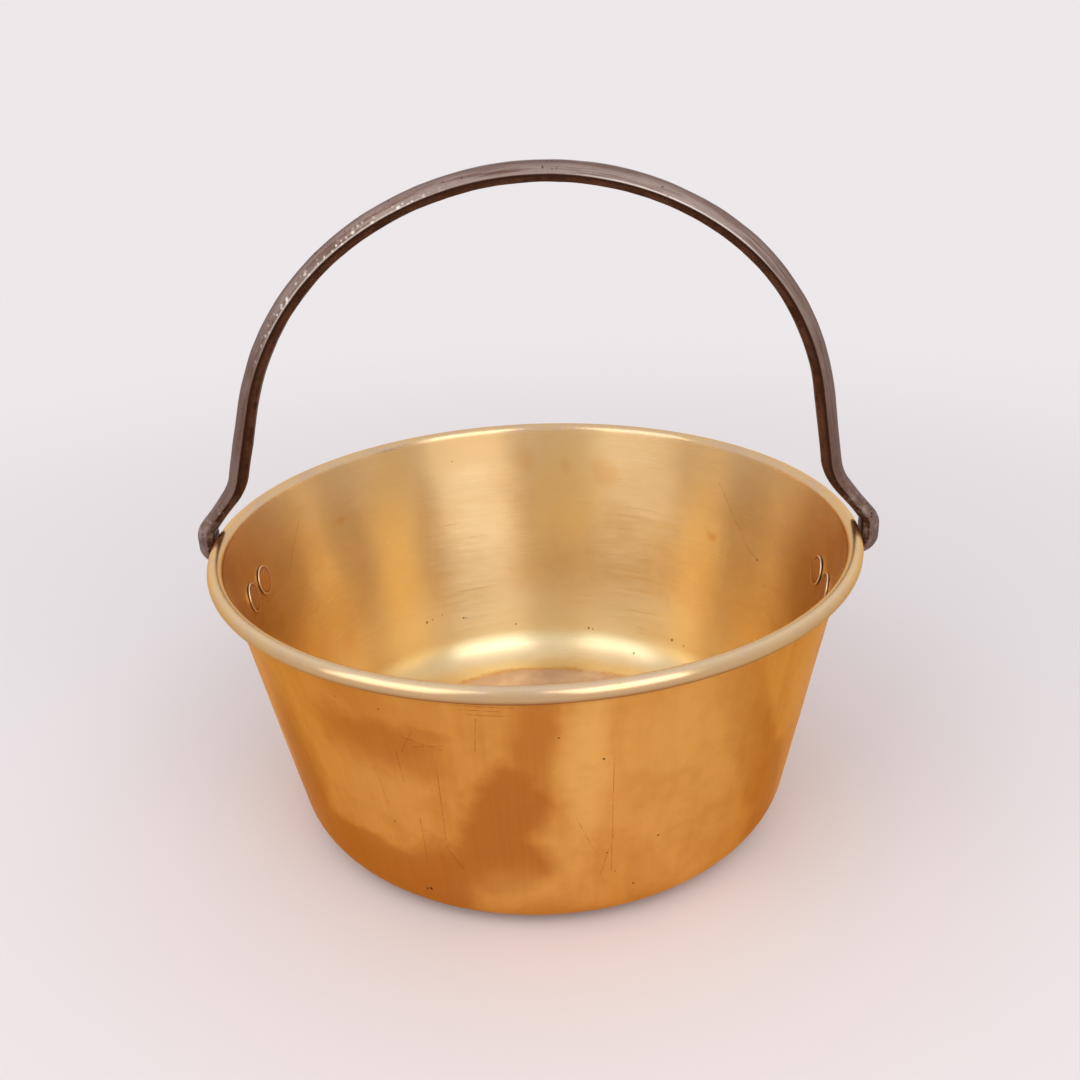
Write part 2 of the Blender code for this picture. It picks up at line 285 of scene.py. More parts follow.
def arcPoints(centre, radius, start, end, steps):
    return [
        Vector((
            centre[0] + radius * math.cos(start + (end - start) * i / steps),
            centre[1] + radius * math.sin(start + (end - start) * i / steps),
        ))
        for i in range(steps + 1)
    ]


def linePoints(start, end, steps):
    return [start.lerp(end, i / steps) for i in range(1, steps)]


def spinRound(shape, line, steps):
    edges = [shape.edges.new(pair) for pair in zip(line, line[1:])]
    bmesh.ops.spin(
        shape,
        geom=line + edges,
        axis=(0, 0, 1),
        cent=(0, 0, 0),
        angle=2 * math.pi,
        steps=steps,
        use_merge=True,
    )
    bmesh.ops.remove_doubles(shape, verts=shape.verts, dist=0.000002)
    bmesh.ops.recalc_face_normals(shape, faces=shape.faces)


# Pan: one spun brass sheet, turned from its profile

pan = {
    "height": 0.1473,
    "baseRadius": 0.12515,
    "taper": math.radians(10.37),
    "flareHeight": 0.1173,
    "flare": math.radians(13.4),
    "flareBlend": 0.0030,
    "sheet": 0.0013,
    "cornerRadius": 0.0230,
    "rollRadius": 0.0038,
    "curlGap": 0.0003,
    "steps": 288,
    "floorSteps": 26,
    "floorTurnSteps": 18,
    "wallSteps": 44,
    "beadSteps": 44,
    "cavitySteps": 20,
    "heelSteps": 16,
    "undersideSteps": 10,
    "wallWaves": 0.00022,
    "rimWaves": 0.00006,
    "wavesAround": 3.2,
    "wavesUp": 22,
    "rimWaveScale": 9,
    "calmFoot": 0.03,
    "calmTop": 0.04,
}


# Radius of the wall's outer face, with a soft bend to the flare near the top
def wallRadius(height):
    blend = pan["flareBlend"]
    flared = blend * math.log1p(math.exp((height - pan["flareHeight"]) / blend))
    turn = math.tan(pan["flare"]) - math.tan(pan["taper"])
    return pan["baseRadius"] + height * math.tan(pan["taper"]) + flared * turn


rollHeight = pan["height"] - pan["rollRadius"]
rollReach = wallRadius(rollHeight) + (pan["rollRadius"] - pan["sheet"]) / math.cos(pan["flare"])


# Each stretch of the profile with its marks for the inner face and the bead
def panProfile():
    taper = pan["taper"]
    sheet = pan["sheet"]
    outer = pan["rollRadius"]
    inner = outer - sheet
    corner = pan["cornerRadius"]
    inward = math.pi - pan["flare"]
    curlEnd = inward + math.acos((inner - pan["curlGap"]) / outer) - 2 * math.pi
    rollCentre = (rollReach, rollHeight)
    cornerCentre = (wallRadius(corner) - corner / math.cos(taper), corner)
    turnRadius = corner - sheet
    floorTurn = arcPoints(cornerCentre, turnRadius, -math.pi / 2, -taper, pan["floorTurnSteps"])
    bead = arcPoints(rollCentre, outer, inward, curlEnd, pan["beadSteps"])
    cavity = arcPoints(rollCentre, inner, curlEnd, inward, pan["cavitySteps"])
    heel = arcPoints(cornerCentre, corner, -taper, -math.pi / 2, pan["heelSteps"])
    low = heel[0].y
    high = bead[0].y
    steps = pan["wallSteps"]
    heights = [low + (high - low) * i / steps for i in range(1, steps)]
    outerWall = [Vector((wallRadius(height), height)) for height in heights]
    innerWall = [point - Vector((sheet / math.cos(taper), 0.0)) for point in outerWall]
    middle = Vector((0.0, sheet))
    under = Vector((0.0, 0.0))
    stretches = [
        (1.0, 0.0, [middle] + linePoints(middle, floorTurn[0], pan["floorSteps"])),
        (1.0, 0.0, floorTurn + innerWall),
        (0.5, 1.0, bead),
        (0.0, 0.0, cavity),
        (0.0, 0.0, outerWall[::-1] + heel),
        (0.0, 0.0, linePoints(heel[-1], under, pan["undersideSteps"]) + [under]),
    ]
    profile = []
    run = 0.0
    for inside, rim, points in stretches:
        for i, point in enumerate(points):
            if profile:
                run += (point - profile[-1][0]).length
            profile.append((point, run, inside, rim * (0.5 + 0.5 * i / len(points))))
    return profile


def makePan(material):
    shape = bmesh.new()
    runLayer = shape.verts.layers.float.new("run")
    insideLayer = shape.verts.layers.float.new("inside")
    rimLayer = shape.verts.layers.float.new("rim")
    line = []
    for point, run, inside, rim in panProfile():
        vert = shape.verts.new((point.x, 0.0, point.y))
        vert[runLayer] = run
        vert[insideLayer] = inside
        vert[rimLayer] = rim
        line.append(vert)
    spinRound(shape, line, pan["steps"])
    for vert in shape.verts:
        around = vert.co.xy.length
        if around < 0.001:
            continue
        out = Vector((vert.co.x, vert.co.y, 0.0)) / around
        place = out * pan["wavesAround"]
        place.z = vert.co.z * pan["wavesUp"]
        rise = min(1.0, vert.co.z / pan["calmFoot"])
        rise *= min(1.0, max(0.0, (rollHeight - vert.co.z) / pan["calmTop"]))
        shift = pan["wallWaves"] * rise * noise.fractal(place, 1.0, 2.0, 2)
        if vert[rimLayer] > 0.4:
            shift += pan["rimWaves"] * (noise.noise(place * pan["rimWaveScale"]) - 1.0)
        vert.co += out * shift
    return finishPiece("brass_pan", shape, material, "pan", "pan_bowl", 60)


# Bail: a forged bar swept along its bent path

bail = {
    "axisHeight": 0.1312,
    "pinTip": 0.15244,
    "knuckleX": 0.16543,
    "hookRadius": 0.0064,
    "bendHeight": 0.1447,
    "overRimRadius": 0.0070,
    "overRimLean": math.radians(40),
    "climb": 0.0200,
    "kneeRadius": 0.0280,
    "legLean": math.radians(12.3),
    "leg": 0.0354,
    "shoulderRadius": 0.1267,
    "crownHalfTurn": math.radians(33.9),
    "sway": 0.0080,
    "pinSteps": 5,
    "hookSteps": 16,
    "riseSteps": 10,
    "overRimSteps": 8,
    "climbSteps": 20,
    "kneeSteps": 12,
    "legSteps": 34,
    "shoulderSteps": 90,
    "crownSteps": 70,
    "edgeSteps": 4,
    "sideWear": 0.6,
    "forging": 0.00020,
    "forgingScale": (60, 130, 60),
    "halfThickness": 0.00485,
}

# Stages of the bar from the pin (0) through the knuckle (1) and the climb (2) to the leg (3):
# thickness, width, flat of the top, drop of the widest line, roundness, wear of the corners
barStages = [
    (0.0076, 0.0076, 0.00456, 0.0, 1.0, 0.0012),
    (0.0094, 0.0136, 0.0104, 0.0, 0.30, 0.0016),
    (0.0082, 0.0136, 0.0053, 0.0008, 0.40, 0.0014),
    (0.0097, 0.0130, 0.0044, 0.0008, 0.04, 0.0009),
]


# Points from the right pin to the crown, each with its stage along the bar
def bailHalfPath():
    axis = bail["axisHeight"]
    knuckle = bail["knuckleX"]
    hookRadius = bail["hookRadius"]
    overRadius = bail["overRimRadius"]
    kneeRadius = bail["kneeRadius"]
    shoulderRadius = bail["shoulderRadius"]
    lean = bail["overRimLean"]
    legLean = bail["legLean"]
    hookCentre = (knuckle - hookRadius, axis + hookRadius)
    hook = arcPoints(hookCentre, hookRadius, -math.pi / 2, 0.0, bail["hookSteps"])
    overCentre = (knuckle - overRadius, bail["bendHeight"])
    over = arcPoints(overCentre, overRadius, 0.0, lean, bail["overRimSteps"])
    kneeStart = over[-1] + Vector((-math.sin(lean), math.cos(lean))) * bail["climb"]
    kneeCentre = kneeStart + Vector((math.cos(lean), math.sin(lean))) * kneeRadius
    knee = arcPoints(kneeCentre, kneeRadius, math.pi + lean, math.pi + legLean, bail["kneeSteps"])
    shoulderStart = knee[-1] + Vector((-math.sin(legLean), math.cos(legLean))) * bail["leg"]
    shoulderCentre = shoulderStart - Vector((math.cos(legLean), math.sin(legLean))) * shoulderRadius
    crownStart = math.pi / 2 - bail["crownHalfTurn"]
    shoulder = arcPoints(shoulderCentre, shoulderRadius, legLean, crownStart, bail["shoulderSteps"])
    crownRadius = shoulder[-1].x / math.cos(crownStart)
    crownCentre = (0.0, shoulder[-1].y - crownRadius * math.sin(crownStart))
    crown = arcPoints(crownCentre, crownRadius, crownStart, math.pi / 2, bail["crownSteps"])
    tip = Vector((bail["pinTip"], axis))
    pieces = [
        (0.0, 0.0, [tip] + linePoints(tip, hook[0], bail["pinSteps"])),
        (0.0, 1.0, hook),
        (1.0, 1.0, linePoints(hook[-1], over[0], bail["riseSteps"])),
        (1.0, 1.6, over),
        (1.645, 2.455, linePoints(over[-1], knee[0], bail["climbSteps"])),
        (2.5, 3.0, knee),
        (3.0, 3.0, linePoints(knee[-1], shoulder[0], bail["legSteps"])),
        (3.0, 3.0, shoulder + crown[1:]),
    ]
    path = []
    for start, end, points in pieces:
        last = len(points) - 1
        path += [(point, start + (end - start) * i / last) for i, point in enumerate(points)]
    return path


# Six-cornered outline of the bar, its corners worn round
def barOutline(thickness, width, flat, drop, roundness, wear):
    steps = bail["edgeSteps"]
    corners = [
        Vector((flat / 2, thickness / 2)),
        Vector((width / 2, -drop)),
        Vector((flat / 2, -thickness / 2)),
        Vector((-flat / 2, -thickness / 2)),
        Vector((-width / 2, -drop)),
        Vector((-flat / 2, thickness / 2)),
    ]
    points = []
    for i, corner in enumerate(corners):
        before = corners[i - 1]
        after = corners[(i + 1) % 6]
        worn = wear * (bail["sideWear"] if i in (1, 4) else 1.0)
        near = corner.lerp(before, min(0.4, worn / (before - corner).length))
        far = corner.lerp(after, min(0.4, worn / (after - corner).length))
        for t in [k / steps for k in range(steps + 1)]:
            points.append(near * (1 - t) ** 2 + corner * 2 * t * (1 - t) + far * t * t)
        ahead = after.lerp(corner, min(0.4, wear / (after - corner).length))
        points += linePoints(far, ahead, steps)
    outline = []
    for point in points:
        angle = math.atan2(point.y / thickness, point.x / width)
        oval = Vector((width / 2 * math.cos(angle), thickness / 2 * math.sin(angle)))
        outline.append(point.lerp(oval, roundness))
    return outline


def bailOutline(stage):
    low = min(int(stage), len(barStages) - 2)
    share = stage - low
    pairs = zip(barStages[low], barStages[low + 1])
    return barOutline(*[first + (second - first) * share for first, second in pairs])


def makeBail(material):
    half = bailHalfPath()
    path = [(p.copy(), stage) for p, stage in half]
    path += [(Vector((-p.x, p.y)), stage) for p, stage in reversed(half[:-1])]
    crownHeight = half[-1][0].y
    kneeHeight = next(p.y for p, stage in half if stage == 3.0)
    for point, stage in path:
        point.x += bail["sway"] * max(0.0, (point.y - kneeHeight) / (crownHeight - kneeHeight))

    rings = len(path)
    sides = len(bailOutline(0.0))
    shape = bmesh.new()
    outerLayer = shape.verts.layers.float.new("outer")
    runLayer = shape.verts.layers.float.new("run")
    bmesh.ops.create_grid(shape, x_segments=rings - 1, y_segments=sides, size=0.5)
    frames = []
    run = 0.0
    for i, (point, stage) in enumerate(path):
        along = (path[min(i + 1, rings - 1)][0] - path[max(i - 1, 0)][0]).normalized()
        if i:
            run += (point - path[i - 1][0]).length
        frames.append((point, Vector((along.y, -along.x)), bailOutline(stage), run, stage))
    for vert in shape.verts:
        i = round((vert.co.x + 0.5) * (rings - 1))
        j = round((vert.co.y + 0.5) * sides) % sides
        point, outward, outline, run, stage = frames[i]
        across, rise = outline[j]
        place = Vector((point.x + outward.x * rise, across, point.y + outward.y * rise))
        if stage > 0.3:
            flow = place * Vector(bail["forgingScale"])
            inward = (Vector((point.x, 0.0, point.y)) - place).normalized()
            place += inward * bail["forging"] * max(0.2, 1.2 + noise.fractal(flow, 1.0, 2.0, 3))
        vert.co = place
        vert[outerLayer] = rise / bail["halfThickness"]
        vert[runLayer] = run
    bmesh.ops.remove_doubles(shape, verts=shape.verts, dist=0.000002)
    ends = [edge for edge in shape.edges if edge.is_boundary]
    bmesh.ops.holes_fill(shape, edges=ends, sides=0)
    bmesh.ops.recalc_face_normals(shape, faces=shape.faces)
    return finishPiece("forged_bail", shape, material, "bail", "bail_handle", 50)


# Ears: softened copies of the plain ones

ears = {"voxel": 0.00045, "smoothing": 6, "forging": 0.00012, "forgingScale": 240}


def makeEar(node, material):
    shape = bmesh.new()
    shape.from_mesh(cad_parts[node].data)
    bmesh.ops.remove_doubles(shape, verts=shape.verts, dist=0.000005)
    ear = finishPiece(node + "_forged", shape, material, "pan", node, 60)
    remesh = ear.modifiers.new("Even skin", "REMESH")
    remesh.mode = "VOXEL"
    remesh.voxel_size = ears["voxel"]
    soften = ear.modifiers.new("Worn edges", "SMOOTH")
    soften.factor = 0.5
    soften.iterations = ears["smoothing"]
    bpy.context.view_layer.update()
    graph = bpy.context.evaluated_depsgraph_get()
    mesh = bpy.data.meshes.new_from_object(ear.evaluated_get(graph))
    ear.modifiers.clear()
    ear.data = mesh
    normals = [vert.normal.copy() for vert in mesh.vertices]
    for vert, normal in zip(mesh.vertices, normals):
        depth = 0.5 + 0.5 * noise.fractal(vert.co * ears["forgingScale"], 1.0, 2.0, 3)
        vert.co -= normal * ears["forging"] * depth
    mesh.shade_smooth()
    return ear


# Rivets: a broad hammered head inside, a domed head over the ear

rivets = {
    "height": 0.1127,
    "spacing": 0.0205,
    "shank": 0.0030,
    "innerHead": 0.0077,
    "innerProud": 0.0007,
    "gap": 0.0003,
    "plate": 0.0026,
    "outerHead": 0.0048,
    "outerRise": 0.0027,
    "steps": 48,
    "domeSteps": 10,
    "lipSteps": 6,
    "faceSteps": 6,
    "dent": 0.00007,
    "dentScale": 420,
}


def makeRivet(side, row, material):
    place = "front" if row * side < 0 else "rear"
    name = f"rivet_{'right' if side > 0 else 'left'}_{place}"
    seat = rivets["plate"] + 2 * rivets["gap"]
    rise = rivets["outerRise"]
    dome = (rivets["outerHead"] ** 2 + rise**2) / (2 * rise)
    spread = math.asin(rivets["outerHead"] / dome)
    domeCentre = (0.0, seat + rise - dome)
    profile = arcPoints(domeCentre, dome, math.pi / 2, math.pi / 2 - spread, rivets["domeSteps"])
    back = -pan["sheet"] - rivets["gap"]
    face = back - rivets["innerProud"]
    radius = rivets["innerHead"]
    lip = rivets["innerProud"] * 0.5
    profile += [Vector((rivets["shank"], seat)), Vector((rivets["shank"], back))]
    profile += [Vector((radius - 0.0002, back))]
    lipCentre = (radius - lip, face + lip)
    profile += arcPoints(lipCentre, lip, 0.0, -math.pi / 2, rivets["lipSteps"])
    middle = Vector((0.0, face))
    profile += linePoints(profile[-1], middle, rivets["faceSteps"]) + [middle]
    shape = bmesh.new()
    ringLayer = shape.verts.layers.float.new("ring")
    line = [shape.verts.new((p.x, 0.0, p.y)) for p in profile]
    for vert in line:
        vert[ringLayer] = vert.co.x / radius if vert.co.z < back + 0.0001 else 0.0
    spinRound(shape, line, rivets["steps"])
    curve = wallRadius(rivets["height"])
    for vert in shape.verts:
        vert.co.z -= vert.co.y**2 / (2 * curve)
        if vert.co.z < back - 0.0001:
            spot = vert.co * rivets["dentScale"]
            spot.z = row * 3 + side
            vert.co.z += rivets["dent"] * noise.noise(spot)
    azimuth = math.asin(row * rivets["spacing"] / 2 / curve)
    onWall = (curve * math.cos(azimuth), curve * math.sin(azimuth), rivets["height"])
    turn = (
        Matrix.Rotation(0.0 if side > 0 else math.pi, 4, "Z")
        @ Matrix.Translation(onWall)
        @ Matrix.Rotation(azimuth, 4, "Z")
        @ Matrix.Rotation(math.pi / 2 + pan["taper"], 4, "Y")
    )
    bmesh.ops.transform(shape, matrix=turn, verts=shape.verts)
    return finishPiece(name + "_head", shape, material, "pan", name, 40)


# Brass: marks on the wall are placed in degrees round from the front (0) over the right
# (90) to the back (180) and the left (270), and in millimetres up from the base

brassFinish = {
    "anisotropy": 0.88,
    "anisotropyTurn": 0.25,
    "grainRoughness": (0.27, 0.38),
    "rimRoughness": 0.24,
    "floorRoughness": 0.38,
    "spotRoughness": 0.3,
    "grainHeight": 0.35,
    "bumpStrength": 0.25,
    "bumpDistance": 0.0002,
    "millimetresPerDegree": 2.4,
    "patchSway": (26.0, 44.0, 0.0),
    "strokeSize": (26.0, 0.55, 1.0),
    "strokeStrength": 0.6,
    "scratchStrength": 0.55,
    "speckStrength": 0.9,
}

brassTones = {
    "inside": (0.90, 0.70, 0.38),
    "insideDeep": (0.84, 0.58, 0.26),
    # The dull tone next serves smoky clouds, brushed rings and painted shade; the gold, pale and
    # low tones after it are painted reflections and light, the pale one also brushed polish
    "insideDullAndShade": (0.58, 0.375, 0.175),
    "insideGoldReflection": (0.97, 0.70, 0.27),
    "insidePaleReflectionAndPolish": (0.98, 0.84, 0.56),
    "insideLowLight": (1.0, 0.91, 0.57),
    "floor": (0.80, 0.60, 0.44),
    # The orange of the outer tone is partly tarnish, partly a painted warm reflection
    "outside": (0.77, 0.352, 0.074),
    "outsideDeep": (0.49, 0.150, 0.024),
    # Painted reflection: the pale outer tone
    "outsidePaleReflection": (0.94, 0.53, 0.15),
    "edgeGlow": (1.0, 0.74, 0.42),
    "rim": (0.76, 0.54, 0.29),
    "rimWorn": (0.66, 0.47, 0.35),
    # Painted shade: the bead's outer side
    "rimShade": (0.52, 0.32, 0.13),
    # Painted shade: under the bead, along the foot and on the bead's underside
    "creaseShade": (0.28, 0.13, 0.045),
    "tarnish": (0.72, 0.38, 0.11),
    "stain": (0.66, 0.45, 0.33),
    # Also the painted highlight along the bead's crest
    "polishAndHighlight": (0.95, 0.82, 0.58),
    "pit": (0.07, 0.025, 0.01),
    "scratch": (0.25, 0.085, 0.02),
}

# Outer patches: darker, partly tarnish and partly painted reflection of darker surroundings, the
# bottom one painted shade
# degrees, level, half width, half height, lean, softness, strength
outerPatches = {
    "upper cloud": (-24.5, 103, 11.0, 17, -0.3, 0.60, 0.76),
    "cloud shade": (-27.0, 128, 6.5, 20, 0.0, 0.7, 0.38),
    "cloud heart": (-17.0, 112, 5.0, 6, -0.3, 0.6, 0.55),
    "band neck": (1.5, 108, 4.6, 40, 0.03, 0.5, 0.60),
    "broad band": (-4.0, 66, 8.0, 42, 0.28, 0.30, 0.78),
    "band foot": (-6.0, 36, 11.5, 16, 0.3, 0.35, 0.75),
    "lower sweep": (-30.0, 20, 20.0, 31, 0.15, 0.25, 0.80),
    "left side": (-49.0, 56, 8.0, 58, 0.0, 0.5, 0.85),
    "left foot": (-50.0, 22, 16.0, 28, 0.0, 0.4, 0.75),
    "bottom shade": (-30.0, 4, 40.0, 10, 0.0, 0.5, 0.40),
    "right stretch": (48.5, 70, 7.5, 80, -0.45, 0.3, 0.58),
    "right smudge": (49.0, 88, 2.2, 22, -0.3, 0.7, 0.75),
    "right low": (55.0, 45, 7.0, 30, -0.5, 0.6, 0.35),
    "right low smudge": (55.0, 16, 4.5, 9, -0.3, 0.6, 0.60),
    "right stripe": (20.5, 85, 2.6, 46, -0.02, 0.8, 0.30),
    "thin stripe": (24.5, 60, 1.2, 50, 0.0, 0.7, 0.22),
    "right foot": (23.5, 25, 6.0, 34, -0.1, 0.25, 0.38),
    "middle foot": (6.0, 9, 9.0, 10, 0.0, 0.7, 0.40),
}

# Painted reflections: paler patches on the outer wall
outerReflectionPatches = {
    "pale strip": (11.2, 104, 3.8, 50, 0.04, 0.75, 0.70),
    "pale strip low": (7.8, 50, 4.5, 28, 0.12, 0.7, 0.42),
    "right light": (29.0, 80, 16.0, 75, -0.1, 0.6, 0.36),
    "right foot light": (33.0, 22, 3.5, 26, -0.1, 0.35, 0.40),
    "left light": (-30.0, 70, 12.0, 24, 0.0, 0.8, 0.20),
    "right flank": (64.0, 90, 7.0, 40, -0.5, 0.7, 0.35),
    "foot light": (1.0, 22, 12.0, 12, 0.0, 0.8, 0.35),
}

innerMarkPatches = {
    "back cloud": (166.5, 121, 3.6, 8, 0.0, 0.6, 0.50),
    "back dot": (175.8, 121, 1.2, 3, 0.0, 0.9, 0.40),
    "left brush": (185.5, 128, 1.8, 7, 0.0, 0.9, 0.45),
    "left smudge": (241.0, 44, 2.6, 6, 0.0, 0.8, 0.40),
    "left smear": (233.4, 112, 1.2, 1.6, 0.0, 0.8, 0.6),
    "right smear": (132.8, 92, 1.1, 1.8, 0.0, 0.8, 0.6),
}

# Painted reflections and light: paler bands and a paler lower wall; the brushed patch is paler
# polish
innerReflectionAndPolishPatches = {
    "left pale band": (198.0, 52, 9.5, 56, 0.0, 0.7, 0.50),
    "low pale left": (194.0, 24, 20.0, 24, 0.0, 0.8, 0.60),
    "low pale right": (150.0, 22, 18.0, 17, 0.0, 0.8, 0.65),
    "brushed patch": (152.0, 104, 10.0, 12, 0.2, 0.9, 0.25),
}

# Painted reflections of the lamps: saturated gold bands on the inner wall
innerGoldReflections = {
    "left gold": (221.0, 75, 5.5, 84, -0.06, 0.9, 0.60),
    "left gold low": (222.0, 22, 8.0, 28, 0.0, 0.8, 0.65),
    "right gold": (136.0, 70, 4.5, 74, 0.0, 0.9, 0.50),
    "right gold low": (136.0, 30, 6.0, 26, 0.0, 0.8, 0.65),
    "far left gold": (244.0, 96, 5.0, 30, 0.0, 0.8, 0.25),
    "middle glow": (176.0, 112, 9.0, 36, 0.0, 0.6, 0.55),
}

# Painted shade on the inner wall, also over glare near the top
innerShades = {
    "left hollow": (209.5, 88, 4.5, 36, 0.0, 0.7, 0.40),
    "left glare": (199.0, 142, 13.0, 26, 0.0, 0.6, 0.50),
    "right glare": (156.0, 142, 11.0, 26, 0.0, 0.6, 0.30),
    "left cheek": (233.0, 96, 7.0, 56, 0.0, 0.8, 0.42),
    "left low": (247.0, 52, 13.0, 34, 0.0, 0.7, 0.45),
    "left corner": (232.0, 6, 18.0, 14, 0.0, 0.5, 0.60),
    "right corner": (122.0, 6, 16.0, 14, 0.0, 0.5, 0.50),
    "right low": (116.0, 50, 12.0, 34, 0.0, 0.7, 0.35),
    "left side": (258.0, 108, 15.0, 42, 0.0, 0.5, 0.55),
    "middle": (176.0, 100, 8.0, 50, 0.0, 0.7, 0.20),
    "right back": (158.0, 70, 12.0, 46, 0.0, 0.8, 0.28),
    "right hollow": (147.0, 70, 5.0, 30, 0.0, 0.8, 0.25),
    "right cheek": (122.0, 102, 9.0, 44, 0.0, 0.6, 0.40),
    "right side": (102.0, 114, 13.0, 40, 0.0, 0.6, 0.45),
}

# degrees, level, half width, half height, turn of the brushed lines
polishStrokes = [
    (149.0, 103, 8.0, 8, 13),
    (161.0, 72, 9.0, 9, -9),
    (196.0, 84, 14.0, 40, 2),
    (158.0, 132, 8.0, 10, 3),
]

# degrees, level, size in millimetres
outerSpecks = [
    (12.9, 103.9, 0.75),
    (24.2, 51.6, 0.7),
    (14.2, 48.1, 0.5),
    (20.0, 24.4, 0.7),
    (5.7, 117.9, 0.55),
    (16.0, 35.2, 0.4),
    (-25.7, 59.7, 0.6),
    (-21.1, 20.5, 1.2),
    (-22.0, 19.8, 0.9),
    (-22.7, 126.6, 0.5),
    (-30.9, 127.0, 0.4),
]

innerSpecks = [
    (215.7, 34.6, 0.9),
    (213.9, 35.2, 0.6),
    (210.8, 36.4, 0.5),
    (204.7, 31.0, 0.9),
    (203.9, 30.6, 0.5),
    (189.8, 21.6, 0.7),
    (168.5, 18.5, 0.9),
    (167.3, 18.0, 0.6),
    (142.8, 21.6, 1.1),
    (138.8, 20.5, 0.6),
    (153.8, 8.2, 0.7),
    (202.6, 130.2, 0.5),
    (119.4, 91.4, 0.8),
]

# start degrees and level, end degrees and level, width in millimetres
outerScratches = [
    (-9.1, 135.5, -0.9, 134.9, 0.30),
    (-9.1, 133.2, -2.6, 132.9, 0.28),
    (-7.9, 130.8, -1.5, 130.4, 0.25),
    (-11.0, 136.9, -5.0, 136.6, 0.25),
    (-6.7, 128.5, -7.5, 110.9, 0.28),
    (-21.4, 104.4, -21.3, 86.9, 0.30),
    (-14.4, 103.0, -15.4, 55.9, 0.32),
    (-15.7, 52.0, -12.9, 38.8, 0.32),
    (-19.8, 66.6, -20.4, 37.9, 0.28),
    (-27.0, 92.0, -26.0, 70.0, 0.25),
    (-17.6, 118.0, -20.5, 104.0, 0.28),
    (-20.0, 113.5, -13.0, 109.5, 0.35),
    (-18.0, 109.0, -12.5, 112.0, 0.30),
    (14.6, 103.6, 15.2, 37.0, 0.25),
    (8.5, 72.0, 11.5, 52.0, 0.22),
    (15.5, 60.0, 13.0, 34.0, 0.25),
]

innerScratches = [
    (135.1, 125.1, 128.7, 107.5, 0.7),
    (128.7, 107.5, 122.7, 94.4, 0.7),
    (122.7, 94.4, 119.4, 91.4, 0.8),
    (246.5, 125.6, 255.6, 102.7, 0.6),
]


# A place on the unrolled wall, and half the size of a patch there
def wallPlace(degrees, level, depth=0.0):
    return Vector((degrees * brassFinish["millimetresPerDegree"], level, depth))


# Joins marks on the wall into one mask, each at its own strength
def joinMasks(tree, masks):
    total = 0.0
    for mask, strength in masks:
        total = calc(tree, "MAXIMUM", total, times(tree, mask, strength))
    return total


def patchArea(tree, wall, warp, degrees, level, halfWidth, halfHeight, lean, softness):
    return useGroup(
        tree,
        patchGroup,
        Place=wall,
        Centre=wallPlace(degrees, level),
        Half=wallPlace(halfWidth, halfHeight, 1.0),
        Lean=lean,
        Softness=softness,
        Warp=warp,
    )


def patchMask(tree, table, wall, warp):
    masks = [(patchArea(tree, wall, warp, *row[:-1]), row[-1]) for row in table.values()]
    return joinMasks(tree, masks)


def strokeMask(tree, table, wall, warp):
    masks = []
    for degrees, level, halfWidth, halfHeight, lean in table:
        turned = addNode(
            tree,
            "ShaderNodeMapping",
            {
                "Vector": wall,
                "Rotation": (0.0, 0.0, math.radians(lean)),
                "Scale": brassFinish["strokeSize"],
            },
            vector_type="TEXTURE",
        ).outputs[0]
        lines = remap(tree, noiseValue(tree, turned, 1.0, 2.0, 0.6), 0.52, 0.72)
        area = patchArea(tree, wall, warp, degrees, level, halfWidth, halfHeight, 0.0, 0.6)
        masks.append((times(tree, lines, area), brassFinish["strokeStrength"]))
    return joinMasks(tree, masks)


def speckMask(tree, table, wall):
    masks = []
    for degrees, level, size in table:
        spot = wallPlace(degrees, level)
        off = vectorCalc(tree, "DISTANCE", wall, spot, output="Value")
        masks.append((remap(tree, off, size, size * 0.4), brassFinish["speckStrength"]))
    return joinMasks(tree, masks)


def scratchMask(tree, table, wall):
    masks = []
    for startDegrees, startLevel, endDegrees, endLevel, width in table:
        start = wallPlace(startDegrees, startLevel)
        reach = wallPlace(endDegrees, endLevel) - start
        mask = useGroup(tree, scratchGroup, Place=wall, Start=start, Reach=reach, Width=width)
        masks.append((mask, brassFinish["scratchStrength"]))
    return joinMasks(tree, masks)


# The wall unrolled, in millimetres round the pan and up it: once from the front, once
# from the back, so that no seam crosses the marks
def unrollWall(tree, axes, level):
    perTurn = brassFinish["millimetresPerDegree"] * 180.0 / math.pi
    front = calc(tree, "ARCTAN2", axes["X"], times(tree, axes["Y"], -1.0))
    behind = calc(tree, "ARCTAN2", times(tree, axes["X"], -1.0), axes["Y"])
    backPlace = times(tree, calc(tree, "ADD", behind, math.pi), perTurn)
    outerWall = joinAxes(tree, X=times(tree, front, perTurn), Y=level)
    innerWall = joinAxes(tree, X=backPlace, Y=level)
    return outerWall, innerWall


